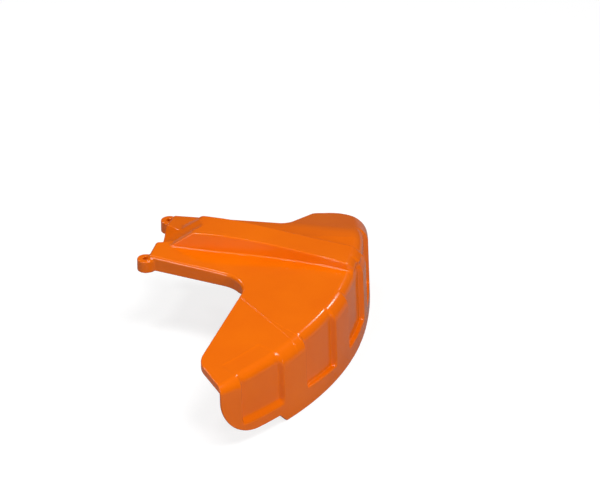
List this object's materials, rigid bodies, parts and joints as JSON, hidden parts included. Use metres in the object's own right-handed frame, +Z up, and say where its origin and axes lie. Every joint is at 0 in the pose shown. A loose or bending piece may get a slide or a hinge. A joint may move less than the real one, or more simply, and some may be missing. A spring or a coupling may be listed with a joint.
{
  "type": "trimmer blade guard",
  "caption": "Orange moulded plastic blade guard for a garden trimmer: a ridged arm with screw lugs, folded wings and a curved, recessed skirt.",
  "frame": {"origin": "middle of the line between the two lug screw holes, level with the top of the lugs", "axes": "+X back from the lugs to the skirt, +Y to the far, short wing, +Z up along the screws"},
  "size_m": [0.2115, 0.3539, 0.0946],
  "materials": {
    "orange_plastic": "gloss"
  },
  "bodies": {
    "root": {"guard": "orange_plastic"}
  },
  "joints": []
}
